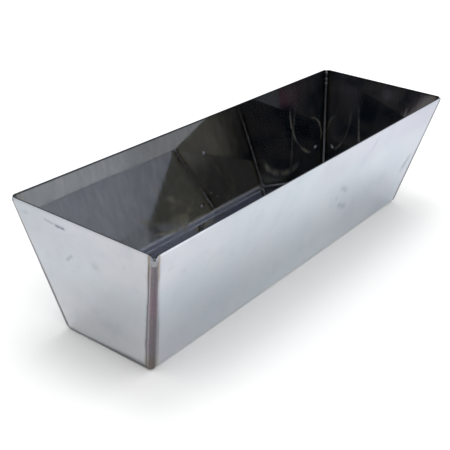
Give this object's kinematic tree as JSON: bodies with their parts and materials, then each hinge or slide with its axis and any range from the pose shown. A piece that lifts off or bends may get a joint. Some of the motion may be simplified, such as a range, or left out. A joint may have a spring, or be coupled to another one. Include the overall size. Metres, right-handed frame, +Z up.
{
  "type": "mud pan",
  "caption": "Long open trough of stainless sheet with walls that lean outwards and welded ends, for carrying joint compound and loading a taping knife.",
  "frame": {"origin": "centre of the underside", "axes": "+X along the pan from the left end to the right end, +Y from the front wall to the back wall, +Z up"},
  "size_m": [0.3556, 0.109, 0.0925],
  "materials": {
    "trough_sheet": "bright polished stainless, fine brushed outside",
    "end_sheet": "bright polished stainless, fine brushed outside",
    "weld_metal": "fused weld bead with brown and violet heat tint"
  },
  "bodies": {
    "root": {"folded_trough": "trough_sheet", "left_end_plate": "end_sheet", "right_end_plate": "end_sheet", "left_front_weld": "weld_metal", "left_floor_weld": "weld_metal", "left_back_weld": "weld_metal", "right_front_weld": "weld_metal", "right_floor_weld": "weld_metal", "right_back_weld": "weld_metal"}
  },
  "joints": []
}
